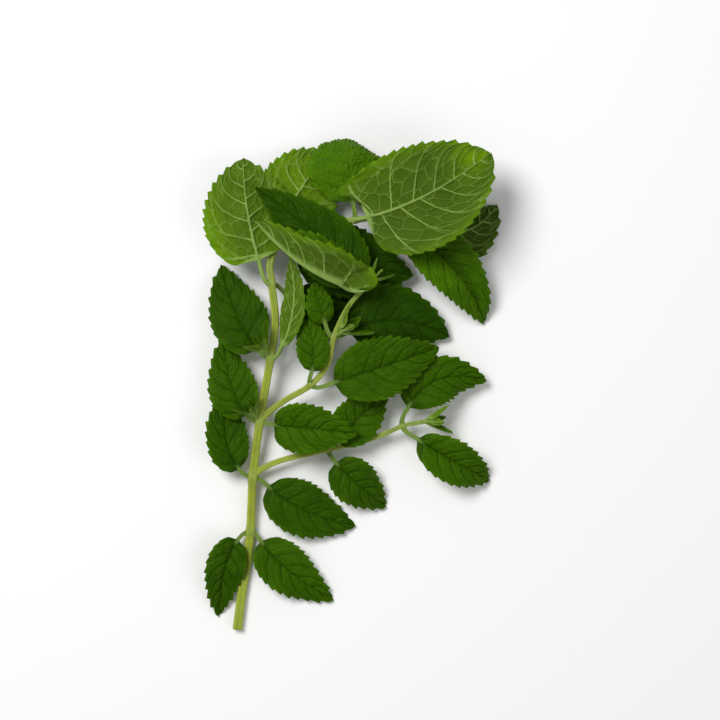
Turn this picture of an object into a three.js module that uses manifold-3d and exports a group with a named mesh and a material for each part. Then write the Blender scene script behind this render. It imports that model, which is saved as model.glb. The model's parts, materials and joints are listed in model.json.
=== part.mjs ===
// A cut sprig of mint lying on a flat surface, as a Group of closed meshes in millimetres.
// +Z is up, the cut end of the stem points to -Y and the leafy top to +Y.
// The origin is on the surface, under the middle of the sprig's outline.
// The stem is square and carries its leaves in opposite pairs, each pair turned across the one
// below it. Two side shoots grow from leaf axils. Every leaf is one solid, stalk and blade.
import * as THREE from 'three';
import { mergeVertices } from 'three/addons/utils/BufferGeometryUtils.js';
import Module from 'manifold-3d';

const wasm = await Module();
wasm.setup();

// Driving dimensions of the leaves
const bladeThickness = 0.6;
const keelDepth = 0.5; // how far the midrib stands out under the blade
const stalkHalfWidth = 0.75;
const stalkHalfDepth = { edge: 0.35, middle: 0.55, keel: 0.7 };
const toothDepth = 0.9;
const toothLean = 0.68; // where a tooth's point lies between its two notches
const quiltHeight = 0.45; // puff of the blade between two side veins
const sideVeinPairs = 6;
const veinLean = 0.26; // how far a side vein runs towards the tip, as a share of the blade
const lobeRise = 0.1; // share of the blade by which its lobes are full
const fineLeafWidth = 19; // a leaf at least this wide has five points across it, not three

// Driving dimensions of the stem
const cornerCut = 0.42; // the square section's cut corners, as a share of half its side
const nodeSwelling = 0.16;
const nodeReach = 0.12; // half length of a swelling, as a share of the step between two points
const groundSink = 0.15; // how far the stem settles into the surface, which flattens it
const stemGap = 0.35; // clear space between a leaf stalk and the stem it grows from

// The middle of the whole outline, in the layout below
const layoutMiddle = new THREE.Vector3(0.777, 0.552, 0);

const up = new THREE.Vector3(0, 0, 1);
const vec = (p) => new THREE.Vector3(...p);
const rad = THREE.MathUtils.degToRad;

// Three shoots. Each point is [x, y, z]. nodes gives the place of each leaf node in the points.
const mainShoot = {
  points: [
    [-41.0, -88.5, 1.55], [-39.4, -76, 1.55], [-37.6, -65, 1.6], [-36.2, -53, 2.4],
    [-35.2, -33, 4.6], [-32.6, -13, 7.0], [-28.6, 10, 10.2], [-26.8, 23, 12.2],
    [-28.0, 36.5, 13.5], [-28.5, 45, 13.2], [-24, 53, 13], [-16.5, 57, 13.2],
    [-8, 59, 13.5], [2, 59.5, 14], [12, 61.5, 14.2], [19, 63, 14.3], [24, 64, 14.5],
  ],
  width: [3.4, 1.9],
  nodes: { n1: 3, n2: 4, n3: 5, n4: 6, n5: 8, n6: 10, n7: 13, n8: 14, n9: 15, mainTip: 16 },
};
const upperShoot = {
  points: [
    [-32.4, -11.8, 7.1], [-24, -5.5, 9], [-14, 0.5, 11], [-8, 8, 12.5],
    [-5.8, 17.5, 14], [-1.5, 27, 15.5], [3.5, 33.5, 17], [7, 37, 17.5],
  ],
  width: [2.3, 1.5],
  nodes: { s1: 2, s2: 4, s3: 6, upperTip: 7 },
};
const lowerShoot = {
  points: [
    [-35, -31.6, 4.8], [-25, -27, 5.7], [-8, -23, 6], [8, -19, 6.5], [19, -14.5, 7], [26, -13, 7.5],
  ],
  width: [2.2, 1.5],
  nodes: { q1: 2, q2: 4, lowerTip: 5 },
};
const shoots = [mainShoot, upperShoot, lowerShoot];

// The big leaves: name, node, middle of the midrib, tip, width and form. Angles are in degrees.
// roll turns the blade about its midrib, so 0 shows the upper side and 180 the underside, and
// twist is the further turn at the tip. fold raises both halves from the midrib and curl bends
// their margins back. round is low for a broad base, and taper low for a blunt tip. lobes is how
// far the blade reaches back past the end of the stalk on its left and right.
const leafForm = {
  roll: 0, twist: 0, fold: 14, curl: -22, round: 0.68, taper: 1.02, stalk: 5, wave: 0.5, lobes: [1.5, 1.5],
};
const broad = { roll: 180, round: 0.58, taper: 0.87 };
const foldedShut = { roll: 75, fold: 81, curl: -14, round: 0.45, taper: 1, stalk: 3, lobes: [0, 14] };
const domed = { fold: -6, stalk: 3, round: 0.58, taper: 0.62 };
const veined = { ...broad, fold: 4, round: 0.52, taper: 0.72, lobes: [20, 3] };
const leaves = [
  ['leaf_1_left', 'n1', [-45, -65, 4.6], [-48, -84, 0.4], 15, { fold: 22, twist: -18 }],
  ['leaf_1_right', 'n1', [-24, -65.5, 4.5], [-6, -78, 0.4], 18, { roll: -12, fold: 18, twist: 20 }],
  ['leaf_2_left', 'n2', [-44.6, -20, 6.5], [-44.5, 1, 0.4], 16, { roll: 10, fold: 20, twist: 14 }],
  ['leaf_2_right', 'n2', [-18, -44.3, 4.5], [2, -51, 0.4], 20, { roll: 8, fold: 10, twist: -22 }],
  ['leaf_3_left', 'n3', [-42, -2, 7.8], [-46, 18, 4], 18, { roll: -10, twist: 12 }],
  ['leaf_3_right', 'n3', [-17, -15, 12.3], [3, -17, 12], 19, { roll: 14, fold: 24, twist: -16 }],
  ['leaf_4_left', 'n4', [-40, 24, 8.5], [-47, 44, 0.4], 21, { roll: 8, twist: -14 }],
  ['leaf_4_right', 'n4', [-20.3, 28, 16.5], [-22, 47, 14], 9, { roll: 160 }],
  ['leaf_5_left', 'n5', [-36, 59, 16.2], [-38.5, 82, 11], 33, { ...broad, stalk: 9, lobes: [4, 1.5] }],
  ['leaf_5_right', 'n5', [-12, 27, 5], [7, 31, 1.5], 22, { fold: 10, twist: 12 }],
  ['leaf_6_left', 'n6', [-17.5, 71.5, 7.8], [-7, 84.5, 0.4], 29, broad],
  ['leaf_6_right', 'n6', [-2, 45.2, 8.9], [23, 40, 6], 27, { fold: 8 }],
  ['leaf_7_left', 'n7', [-0.2, 80, 13.4], [0.5, 89, 2], 33, domed],
  ['leaf_7_right', 'n7', [25.5, 66.9, 26.3], [50, 83, 22], 38, veined],
  ['leaf_8_left', 'n8', [16.8, 74.3, 7.6], [21.5, 86, 5], 14, {}],
  ['leaf_8_right', 'n8', [36.2, 43.2, 14], [48.5, 22.5, 0.4], 20, { fold: 20, twist: -12 }],
  ['leaf_9_left', 'n9', [30, 77, 10], [39, 83, 7], 17, {}],
  ['leaf_9_right', 'n9', [39, 55.5, 8], [53.5, 66, 0.4], 24, { roll: 180 }],
  ['upper_leaf_1_left', 's1', [-13.2, 13, 15.1], [-17, 27.5, 11.2], 12, {}],
  ['upper_leaf_1_right', 's1', [9, 6, 13.8], [32, 14, 12.5], 23, { roll: -10, fold: 20, twist: 24, stalk: 8 }],
  ['upper_leaf_2_left', 's2', [-10.5, 27.5, 17], [-13, 37, 17], 10, {}],
  ['upper_leaf_2_right', 's2', [14, 23.5, 10.5], [36, 18, 2.5], 27, { fold: 8, twist: 10 }],
  ['upper_leaf_3_left', 's3', [-16.5, 42.3, 29], [-34, 59, 25.5], 27, foldedShut],
  ['upper_leaf_3_right', 's3', [-8.7, 50.8, 17], [-34, 71, 19], 24, { roll: 4, fold: 6, stalk: 3 }],
  ['lower_leaf_1_left', 'q1', [2, -13, 7.8], [13, 0, 5], 17, { roll: -8, fold: 20, twist: 16 }],
  ['lower_leaf_1_right', 'q1', [1, -34, 6.5], [13, -44, 0.4], 17, { roll: 12, fold: 16, twist: -20 }],
  ['lower_leaf_2_left', 'q2', [30, 1.5, 9.5], [49.5, 2, 4], 18, { roll: -6, fold: 18, twist: 16 }],
  ['lower_leaf_2_right', 'q2', [37, -27, 8], [50.5, -34, 0.4], 17, { roll: 14, fold: 30, twist: -20 }],
];

// The young leaves round the three growing tips and in three leaf axils. heading is the way a
// tip grows, gap its distance from the middle of the node, longest its longest leaf, splay how
// far that leans out from the heading, and turn the place of the first pair round it.
const tipForm = { gap: stemGap + 0.15, pairs: 3, splay: 30, turn: 0 };
const axilForm = { ...tipForm, pairs: 2, splay: 32 };
const buds = [
  ['axil_3', 'n3', { ...axilForm, heading: [-0.5, 0.8, 0.9], gap: 3.2, longest: 10 }],
  ['axil_4', 'n4', { ...axilForm, heading: [-0.45, 0.8, 0.9], gap: 3.4, longest: 12, turn: 30 }],
  ['upper_axil_2', 's2', { ...axilForm, heading: [0.75, 0.5, 0.6], gap: 3, longest: 13, turn: 10 }],
  ['tip_main', 'mainTip', { ...tipForm, heading: [1, 0.25, 0.12], longest: 10, turn: 40 }],
  ['tip_upper', 'upperTip', { ...tipForm, heading: [0.7, 0.7, -0.05], longest: 8.5 }],
  ['tip_lower', 'lowerTip', { ...tipForm, heading: [1, 0.1, 0.2], longest: 11, turn: 20 }],
];

// A closed body over rings of equally many points, with flat ends.
function loft(rings) {
  const count = rings[0].length;
  const index = [];
  for (let i = 0; i + 1 < rings.length; i++) {
    for (let k = 0; k < count; k++) {
      const a = i * count + k;
      const b = i * count + ((k + 1) % count);
      index.push(a, b, b + count, a, b + count, a + count);
    }
  }
  const last = (rings.length - 1) * count;
  for (let k = 1; k + 1 < count; k++) {
    index.push(0, k + 1, k);
    index.push(last, last + k, last + k + 1);
  }
  return indexedGeometry(rings.flat(), index);
}

function indexedGeometry(points, index) {
  const geometry = new THREE.BufferGeometry();
  const positions = points.flatMap((p) => [p.x, p.y, p.z]);
  geometry.setAttribute('position', new THREE.Float32BufferAttribute(positions, 3));
  geometry.setIndex(index);
  return geometry;
}

// The direction along a curve, with a level direction across it and one square to both.
function frameAlong(tangent) {
  const along = tangent.clone().normalize();
  const across = new THREE.Vector3().crossVectors(up, along).normalize();
  const above = new THREE.Vector3().crossVectors(along, across);
  return { along, across, above };
}

// A point that would be under the surface lies on it.
function aboveGround(p) {
  p.z = Math.max(p.z, 0);
  return p;
}

const spanCount = (shoot) => shoot.points.length - 1;
const curveOf = (shoot) => new THREE.CatmullRomCurve3(shoot.points.map(vec), false, 'catmullrom', 0.5);

// Half the side of the square stem at a share of the shoot's length, swollen at its nodes.
function stemHalf(shoot, share) {
  const place = share * spanCount(shoot);
  const bumps = Object.values(shoot.nodes).map((index) => Math.exp(-(((place - index) / nodeReach) ** 2)));
  const swelling = nodeSwelling * bumps.reduce((sum, bump) => sum + bump, 0);
  return (THREE.MathUtils.lerp(...shoot.width, share) / 2) * (1 + swelling);
}

// A square tube with cut corners along a shoot, with more rings round its nodes.
function stemGeometry(shoot) {
  const curve = curveOf(shoot);
  const shortSpan = 9;
  const shares = [];
  for (let i = 0; i < spanCount(shoot); i++) {
    const isShort = vec(shoot.points[i]).distanceTo(vec(shoot.points[i + 1])) < shortSpan;
    const offsets = isShort ? [0, 0.5] : [0, nodeReach, 0.5, 1 - nodeReach];
    shares.push(...offsets.map((offset) => (i + offset) / spanCount(shoot)));
  }
  shares.push(1);
  const inner = 1 - cornerCut;
  const corners = [
    [1, -inner], [1, inner], [inner, 1], [-inner, 1], [-1, inner], [-1, -inner], [-inner, -1], [inner, -1],
  ];
  const rings = shares.map((share) => {
    const centre = curve.getPoint(share);
    const { across, above } = frameAlong(curve.getTangent(share));
    const half = stemHalf(shoot, share);
    return corners.map(([a, b]) => {
      const p = centre.clone().addScaledVector(across, a * half).addScaledVector(above, b * half);
      p.z -= groundSink;
      return aboveGround(p);
    });
  });
  return loft(rings);
}

// Where the leaves grow: the middle of each node, the stem's direction and half its width there.
const nodePoints = {};
for (const shoot of shoots) {
  for (const [name, index] of Object.entries(shoot.nodes)) {
    const share = index / spanCount(shoot);
    const centre = vec(shoot.points[index]);
    centre.z -= groundSink;
    nodePoints[name] = { centre, along: curveOf(shoot).getTangent(share), half: stemHalf(shoot, share) };
  }
}

// Share of the blade's half width at a share x of its length.
function outline(x, { round, taper }) {
  const shape = (s) => s ** round * (1 - s) ** taper;
  return shape(x) / shape(round / (round + taper));
}

// Height of the blade over its smooth form, at a share x of its length and d of its half width:
// each panel between two side veins puffs up, but not at the midrib or the margin.
function quilt(x, d, leaf) {
  const startOfVein = x - veinLean * d ** 1.25 * outline(x, leaf);
  const acrossPanel = Math.abs(Math.sin(Math.PI * sideVeinPairs * startOfVein));
  return quiltHeight * acrossPanel * Math.sin(Math.PI * d ** 0.7) ** 0.7;
}

// Half the blade's width at each notch and tooth of its margin, or at a few places if it is smooth.
function marginRows(leaf, width, length, isToothed) {
  const teeth = Math.round(3 + 0.23 * length);
  const tipShare = 0.995;
  const places = [];
  for (let k = 0; k < teeth; k++) places.push(k / teeth, (k + toothLean) / teeth);
  const shares = isToothed ? [...places, tipShare] : [0, 0.4, 0.78, tipShare];
  return shares.map((x, k) => {
    const fullness = (width / 2 - toothDepth / 2) * outline(Math.max(x, 0.004), leaf);
    const tooth = isToothed && k > 1 && k % 2 === 1 ? toothDepth * Math.min(1, width / 16) : 0;
    return { x, halfWidth: Math.max(fullness + tooth, stalkHalfDepth.edge) };
  });
}

// One leaf, stalk and blade. Rows of points run across it, on an upper and a lower skin. The
// stalk's end is cut along the stem, and a leaf without a node starts at root and has no teeth.
function leafGeometry({ node, root, middle, tip, width, ...form }) {
  const leaf = { ...leafForm, ...form };
  const [middlePoint, tipPoint] = [vec(middle), vec(tip)];
  const bendPoint = (from) =>
    middlePoint.clone().multiplyScalar(2).addScaledVector(from, -0.5).addScaledVector(tipPoint, -0.5);
  const start = (root ?? nodePoints[node].centre).clone();
  const away = bendPoint(start).sub(start);
  if (node) {
    const { along, half } = nodePoints[node];
    away.addScaledVector(along, -away.dot(along)).normalize();
    start.addScaledVector(away, half * (1 + nodeSwelling) + stemGap);
  }
  const midrib = new THREE.QuadraticBezierCurve3(start, bendPoint(start), tipPoint);
  const length = start.distanceTo(tipPoint);
  const stalkShare = leaf.stalk / length;
  const stalkRows = (node ? [0, 0.6] : [0]).map((s) => ({ t: s * stalkShare, halfWidth: stalkHalfWidth }));
  const bladeRows = marginRows(leaf, width, length, Boolean(node))
    .map((row) => ({ ...row, t: stalkShare + (1 - stalkShare) * row.x }));
  const rows = [...stalkRows, ...bladeRows];
  const columns = width >= fineLeafWidth ? [-1, -0.55, 0, 0.55, 1] : [-1, 0, 1];
  const upper = [];
  const lower = [];
  for (const row of rows) {
    for (const v of columns) {
      const [above, below] = skinPoints(leaf, midrib, row, v);
      if (node && row.t === 0) {
        for (const p of [above, below]) p.addScaledVector(away, start.dot(away) - p.dot(away));
      }
      upper.push(aboveGround(above));
      lower.push(aboveGround(below));
    }
  }
  return sheetGeometry(upper, lower, rows.length, columns.length);
}

// The two points, on the upper and the lower skin, at a row of a leaf and a place v across it,
// from -1 at the left margin to 1 at the right. The half blade's section is an arc that starts
// at the fold angle and turns by the curl angle on its way to the margin.
function skinPoints(leaf, midrib, { t, x, halfWidth }, v) {
  const isBlade = x !== undefined;
  const frame = frameAlong(midrib.getTangent(t));
  const roll = rad(leaf.roll + leaf.twist * t);
  const side = frame.across.clone()
    .multiplyScalar(Math.cos(roll))
    .addScaledVector(frame.above, Math.sin(roll));
  const normal = new THREE.Vector3().crossVectors(frame.along, side);
  const d = Math.abs(v);
  const unfurl = isBlade ? Math.min(1, x * 8) : 0;
  const fold = rad(leaf.fold) * unfurl;
  const curl = rad(leaf.curl) * unfurl || 1e-6;
  const slope = fold + curl * d;
  const lateral = (halfWidth * (Math.sin(slope) - Math.sin(fold))) / curl;
  const height = (halfWidth * (Math.cos(fold) - Math.cos(slope))) / curl;
  const p = midrib.getPoint(t)
    .addScaledVector(side, Math.sign(v) * lateral)
    .addScaledVector(normal, height);
  let halfDepth = v === 0 ? stalkHalfDepth.middle : stalkHalfDepth.edge;
  let keel = v === 0 ? stalkHalfDepth.keel : 0;
  if (isBlade) {
    const ripple = Math.sin(2 * Math.PI * (2.3 * x + (v > 0 ? 0.35 : 0)));
    const relief = quilt(Math.max(x, 0.004), d, leaf) + leaf.wave * d * d * unfurl * ripple;
    const lobe = leaf.lobes[v < 0 ? 0 : 1] * THREE.MathUtils.smoothstep(x, 0, lobeRise);
    const sweep = lobe * d ** 1.5 * (1 - x) ** 4;
    p.addScaledVector(normal, relief).addScaledVector(frame.along, -sweep);
    halfDepth = bladeThickness / 2;
    keel = v === 0 ? keelDepth * (1 - x) : 0;
  }
  const outward = normal.clone()
    .multiplyScalar(Math.cos(slope))
    .addScaledVector(side, -Math.sign(v) * Math.sin(slope));
  return [p.clone().addScaledVector(outward, halfDepth), p.addScaledVector(outward, -halfDepth - keel)];
}

// Closes an upper and a lower skin into one body. Both skins are split along the same diagonals.
function sheetGeometry(upper, lower, rowCount, columnCount) {
  const under = upper.length;
  const at = (i, j) => i * columnCount + j;
  const index = [];
  const quad = (a, b, c, d) => index.push(a, b, c, a, c, d);
  for (let i = 0; i + 1 < rowCount; i++) {
    for (let j = 0; j + 1 < columnCount; j++) {
      const [a, b, c, d] = [at(i, j), at(i, j + 1), at(i + 1, j + 1), at(i + 1, j)];
      index.push(a, d, c, a, c, b);
      quad(under + a, under + b, under + c, under + d);
    }
    const [left, nextLeft] = [at(i, 0), at(i + 1, 0)];
    const [right, nextRight] = [at(i, columnCount - 1), at(i + 1, columnCount - 1)];
    quad(left, under + left, under + nextLeft, nextLeft);
    quad(right, nextRight, under + nextRight, under + right);
  }
  for (let j = 0; j + 1 < columnCount; j++) {
    const [first, nextFirst] = [at(0, j), at(0, j + 1)];
    const [last, nextLast] = [at(rowCount - 1, j), at(rowCount - 1, j + 1)];
    quad(first, nextFirst, under + nextFirst, under + first);
    quad(last, under + last, under + nextLast, nextLast);
  }
  return indexedGeometry([...upper, ...lower], index);
}

// Joins closed geometries that reach into each other.
function fuse(geometries) {
  const solids = geometries.map((geometry) => {
    const merged = mergeVertices(geometry, 1e-4);
    return new wasm.Manifold(new wasm.Mesh({
      numProp: 3,
      vertProperties: merged.attributes.position.array,
      triVerts: new Uint32Array(merged.index.array),
    }));
  });
  const mesh = solids.reduce((joined, solid) => joined.add(solid)).getMesh();
  const geometry = new THREE.BufferGeometry();
  geometry.setAttribute('position', new THREE.Float32BufferAttribute(mesh.vertProperties, 3));
  geometry.setIndex(new THREE.BufferAttribute(mesh.triVerts, 1));
  return geometry;
}

// Young leaves round a growing tip: pairs that shrink, each turned across the last, on a core.
function budGeometry(node, { heading, gap, longest, pairs, splay, turn }) {
  const direction = vec(heading).normalize();
  const from = nodePoints[node].centre.clone().addScaledVector(direction, gap);
  const { across, above } = frameAlong(direction);
  const coreLength = longest * 0.32;
  const coreProfile = [[0, 0.6], [0.3, 1], [0.75, 0.8], [1, 0.2]];
  const coreSides = 6;
  const around = (angle) =>
    across.clone().multiplyScalar(Math.cos(angle)).addScaledVector(above, Math.sin(angle));
  const core = loft(coreProfile.map(([share, radius]) =>
    Array.from({ length: coreSides }, (_, k) => from.clone()
      .addScaledVector(direction, share * coreLength)
      .addScaledVector(around((2 * Math.PI * k) / coreSides), radius))));
  const pieces = [core];
  for (let pair = 0; pair < pairs; pair++) {
    const size = longest * 0.66 ** pair;
    const root = from.clone().addScaledVector(direction, coreLength * (0.15 + 0.22 * pair));
    const lean = rad(splay * (1 - 0.28 * pair));
    for (const opposite of [0, 180]) {
      const angle = turn + 90 * pair + opposite;
      const outward = around(rad(angle));
      const place = (share, bow) => root.clone()
        .addScaledVector(direction, share * size * Math.cos(lean))
        .addScaledVector(outward, share * size * Math.sin(lean) + bow);
      pieces.push(leafGeometry({
        root, middle: place(0.5, size * 0.07), tip: place(1, 0), width: size * 0.5,
        roll: angle + 90, fold: 26, curl: -10, stalk: size * 0.12, wave: 0, lobes: [0, 0],
      }));
    }
  }
  return fuse(pieces);
}

const leafGreen = new THREE.MeshStandardMaterial({ color: 0x2f5d12, roughness: 0.55, metalness: 0 });
const stemGreen = new THREE.MeshStandardMaterial({ color: 0x7a8a24, roughness: 0.5, metalness: 0 });
const youngGreen = new THREE.MeshStandardMaterial({ color: 0x5c8f22, roughness: 0.55, metalness: 0 });

const sprig = new THREE.Group();
function addMesh(name, geometry, material) {
  const mesh = new THREE.Mesh(geometry, material);
  mesh.name = name;
  sprig.add(mesh);
}

addMesh('stem', fuse(shoots.map(stemGeometry)), stemGreen);
for (const [name, node, middle, tip, width, form] of leaves) {
  addMesh(name, leafGeometry({ node, middle, tip, width, ...form }), leafGreen);
}
for (const [name, node, form] of buds) addMesh(name, budGeometry(node, form), youngGreen);
sprig.position.copy(layoutMiddle).negate();

export default sprig;
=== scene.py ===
import json

import bpy
import numpy as np
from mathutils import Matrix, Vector

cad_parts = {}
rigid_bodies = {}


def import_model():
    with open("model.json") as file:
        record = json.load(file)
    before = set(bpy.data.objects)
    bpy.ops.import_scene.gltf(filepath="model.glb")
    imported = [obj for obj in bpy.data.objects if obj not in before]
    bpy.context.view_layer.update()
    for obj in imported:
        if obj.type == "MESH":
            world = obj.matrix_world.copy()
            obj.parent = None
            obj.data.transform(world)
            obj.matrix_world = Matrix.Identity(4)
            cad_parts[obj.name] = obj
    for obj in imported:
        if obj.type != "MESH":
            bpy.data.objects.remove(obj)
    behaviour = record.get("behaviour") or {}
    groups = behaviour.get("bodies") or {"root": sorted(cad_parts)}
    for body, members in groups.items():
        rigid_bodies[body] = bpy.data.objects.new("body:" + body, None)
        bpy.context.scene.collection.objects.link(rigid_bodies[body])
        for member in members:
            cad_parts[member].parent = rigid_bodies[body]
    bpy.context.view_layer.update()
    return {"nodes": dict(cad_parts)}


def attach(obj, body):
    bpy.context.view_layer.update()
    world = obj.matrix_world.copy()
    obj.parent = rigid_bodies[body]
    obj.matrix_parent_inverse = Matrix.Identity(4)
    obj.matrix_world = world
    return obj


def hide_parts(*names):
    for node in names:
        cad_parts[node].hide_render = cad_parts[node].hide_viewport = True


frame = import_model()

# A cut sprig of mint lying on a pale surface. Shapes are worked out in millimetres, with the
# origin under the middle of the sprig, and become metres when a mesh is made.
mm = 0.001
layoutMiddle = np.array([0.777, 0.552, 0.0])  # this point of the layout goes to the origin
print("stage: frame loaded,", len(frame["nodes"]), "solids")


# Small helpers for whole arrays of points

def unit(a):
    return a / np.linalg.norm(a, axis=-1, keepdims=True)


def smoothStep(a):
    # 3a^2 - 2a^3, level below 0 and above 1
    a = np.clip(a, 0, 1)
    return a * a * (3 - 2 * a)


def bell(distance, width):
    # e^-(distance / width)^2
    return np.exp(-((distance / width) ** 2))


def frameAlong(tangent):
    # the direction itself, the level direction square to it, and the one square to both
    along = unit(tangent)
    across = unit(np.cross([0.0, 0.0, 1.0], along))
    return along, across, np.cross(along, across)


def splineThrough(points, place):
    # Cubic through the points with tangents (next - previous) / 2. place counts the points,
    # so 2.5 is halfway from the third to the fourth. Gives the place and the direction.
    points = np.asarray(points, float)
    padded = np.vstack([2 * points[0] - points[1], points, 2 * points[-1] - points[-2]])
    place = np.atleast_1d(np.asarray(place, float))
    i = np.clip(np.floor(place).astype(int), 0, len(points) - 2)
    w = (place - i)[:, None]
    before, a, b, after = (padded[i + k] for k in range(4))
    ta, tb = (b - before) / 2, (after - a) / 2
    position = ((2 * w**3 - 3 * w**2 + 1) * a + (w**3 - 2 * w**2 + w) * ta
                + (3 * w**2 - 2 * w**3) * b + (w**3 - w**2) * tb)
    direction = (6 * w**2 - 6 * w) * (a - b) + (3 * w**2 - 4 * w + 1) * ta + (3 * w**2 - 2 * w) * tb
    return position, direction


def gridFaces(rows, columns, wrap=False, first=0, flip=False):
    # quads between neighbouring rows and columns of a grid whose first vertex has number first
    i, j = np.meshgrid(np.arange(rows - 1), np.arange(columns - (not wrap)), indexing="ij")
    a = (i * columns + j).ravel()
    b = (i * columns + (j + 1) % columns).ravel()
    quads = np.stack([a, b, b + columns, a + columns], -1) + first
    return quads[:, ::-1] if flip else quads


def joinParts(parts):
    # one set of points, faces and values from several
    shift = np.cumsum([0] + [len(p["points"]) for p in parts])
    return {
        "points": np.vstack([p["points"] for p in parts]),
        "quads": np.vstack([p["quads"] + s for p, s in zip(parts, shift)]),
        "values": {k: np.concatenate([p["values"][k] for p in parts]) for k in parts[0]["values"]},
        "skin": np.vstack([p["skin"] for p in parts]),
    }


def makePiece(name, node, part, materials):
    # A quad whose last two corners are the same is a triangle. values become point attributes,
    # skin is a flat map of the surface in millimetres.
    mesh = bpy.data.meshes.new(name)
    quads = part["quads"]
    isTriangle = quads[:, 2] == quads[:, 3]
    sizes = np.where(isTriangle, 3, 4)
    corners = quads.ravel()[np.column_stack([np.ones((len(quads), 3), bool), ~isTriangle]).ravel()]
    mesh.vertices.add(len(part["points"]))
    mesh.vertices.foreach_set("co", (part["points"] * mm).astype(np.float32).ravel())
    mesh.loops.add(len(corners))
    mesh.loops.foreach_set("vertex_index", corners.astype(np.int32))
    mesh.polygons.add(len(quads))
    mesh.polygons.foreach_set("loop_start", np.concatenate([[0], np.cumsum(sizes)[:-1]]).astype(np.int32))
    mesh.update(calc_edges=True)
    mesh.polygons.foreach_set("use_smooth", np.ones(len(quads), bool))
    for key, value in part["values"].items():
        layer = mesh.attributes.new(key, "FLOAT", "POINT")
        layer.data.foreach_set("value", value.astype(np.float32))
    layer = mesh.attributes.new("skin", "FLOAT_VECTOR", "POINT")
    layer.data.foreach_set("vector", part["skin"].astype(np.float32).ravel())
    mesh.validate()
    for material in materials:
        mesh.materials.append(material)
    piece = bpy.data.objects.new(name, mesh)
    bpy.context.scene.collection.objects.link(piece)
    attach(piece, "root")
    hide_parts(node)
    return piece


# The stem and its three shoots. Each point is x, y, z, and width is the side at the first and
# the last of them. nodes gives the place of each leaf node, counted in points.
stem = {
    "squareness": 3.4,  # power of the section's rounded square, 2 is round
    "grooveDepth": 0.1, "grooveShape": 1.5,  # hollow of each side, as a share of half the side
    "swelling": 0.16, "swellingReach": 0.12, "swellingFill": 0.06,
    "ridgeHeight": 0.09, "ridgeWidth": 0.35,  # fine ridge round each node
    "sink": 0.15,  # how far the stem settles into the surface
    "forkFlare": 0.4, "forkReach": 2.4,
    "ringStep": 0.8, "nodeRings": 7, "nodeRingReach": 1.5, "pointsRound": 40,
    # rings that close the cut end: width, push along the shoot, share of pith
    "cutEnd": ((0.02, 0.16, 1), (0.35, 0.14, 1), (0.62, 0.1, 1), (0.7, -0.02, 1), (0.93, -0.03, 0.6)),
    "tipEnd": ((0.75, 0.25), (0.4, 0.4), (0.02, 0.45)),  # the same at the tip: width and push
    "hairsPerMm": 22, "hairLength": 0.5, "hairRadius": 0.028, "leastHair": 0.12,
}
shoots = {
    "main": {
        "points": [
            (-41.0, -88.5, 1.55), (-39.4, -76, 1.55), (-37.6, -65, 1.6), (-36.2, -53, 2.4),
            (-35.2, -33, 4.6), (-32.6, -13, 7.0), (-28.6, 10, 10.2), (-26.8, 23, 12.2),
            (-28.0, 36.5, 13.5), (-28.5, 45, 13.2), (-24, 53, 13), (-16.5, 57, 13.2),
            (-8, 59, 13.5), (2, 59.5, 14), (12, 61.5, 14.2), (19, 63, 14.3), (24, 64, 14.5),
        ],
        "width": (3.4, 1.9),
        "nodes": {"n1": 3, "n2": 4, "n3": 5, "n4": 6, "n5": 8, "n6": 10, "n7": 13, "n8": 14, "n9": 15,
                  "mainTip": 16},
    },
    "upper": {
        "points": [
            (-32.4, -11.8, 7.1), (-24, -5.5, 9), (-14, 0.5, 11), (-8, 8, 12.5),
            (-5.8, 17.5, 14), (-1.5, 27, 15.5), (3.5, 33.5, 17), (7, 37, 17.5),
        ],
        "width": (2.3, 1.5),
        "nodes": {"s1": 2, "s2": 4, "s3": 6, "upperTip": 7},
    },
    "lower": {
        "points": [
            (-35, -31.6, 4.8), (-25, -27, 5.7), (-8, -23, 6), (8, -19, 6.5), (19, -14.5, 7), (26, -13, 7.5),
        ],
        "width": (2.2, 1.5),
        "nodes": {"q1": 2, "q2": 4, "lowerTip": 5},
    },
}


def shootPoints(shoot):
    return np.array(shoot["points"], float) - layoutMiddle


def stemHalf(shoot, place):
    # half the side: from the first width to the last, with a bell-shaped swelling at each node
    place = np.asarray(place, float)
    share = place / (len(shoot["points"]) - 1)
    first, last = shoot["width"]
    bumps = sum(bell(place - index, stem["swellingReach"]) for index in shoot["nodes"].values())
    return (first + (last - first) * share) / 2 * (1 + stem["swelling"] * bumps)


nodePoints = {}
for shoot in shoots.values():
    for name, index in shoot["nodes"].items():
        centre, direction = splineThrough(shootPoints(shoot), index)
        centre[0, 2] -= stem["sink"]
        nodePoints[name] = (centre[0], unit(direction[0]), float(stemHalf(shoot, index)))


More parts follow.
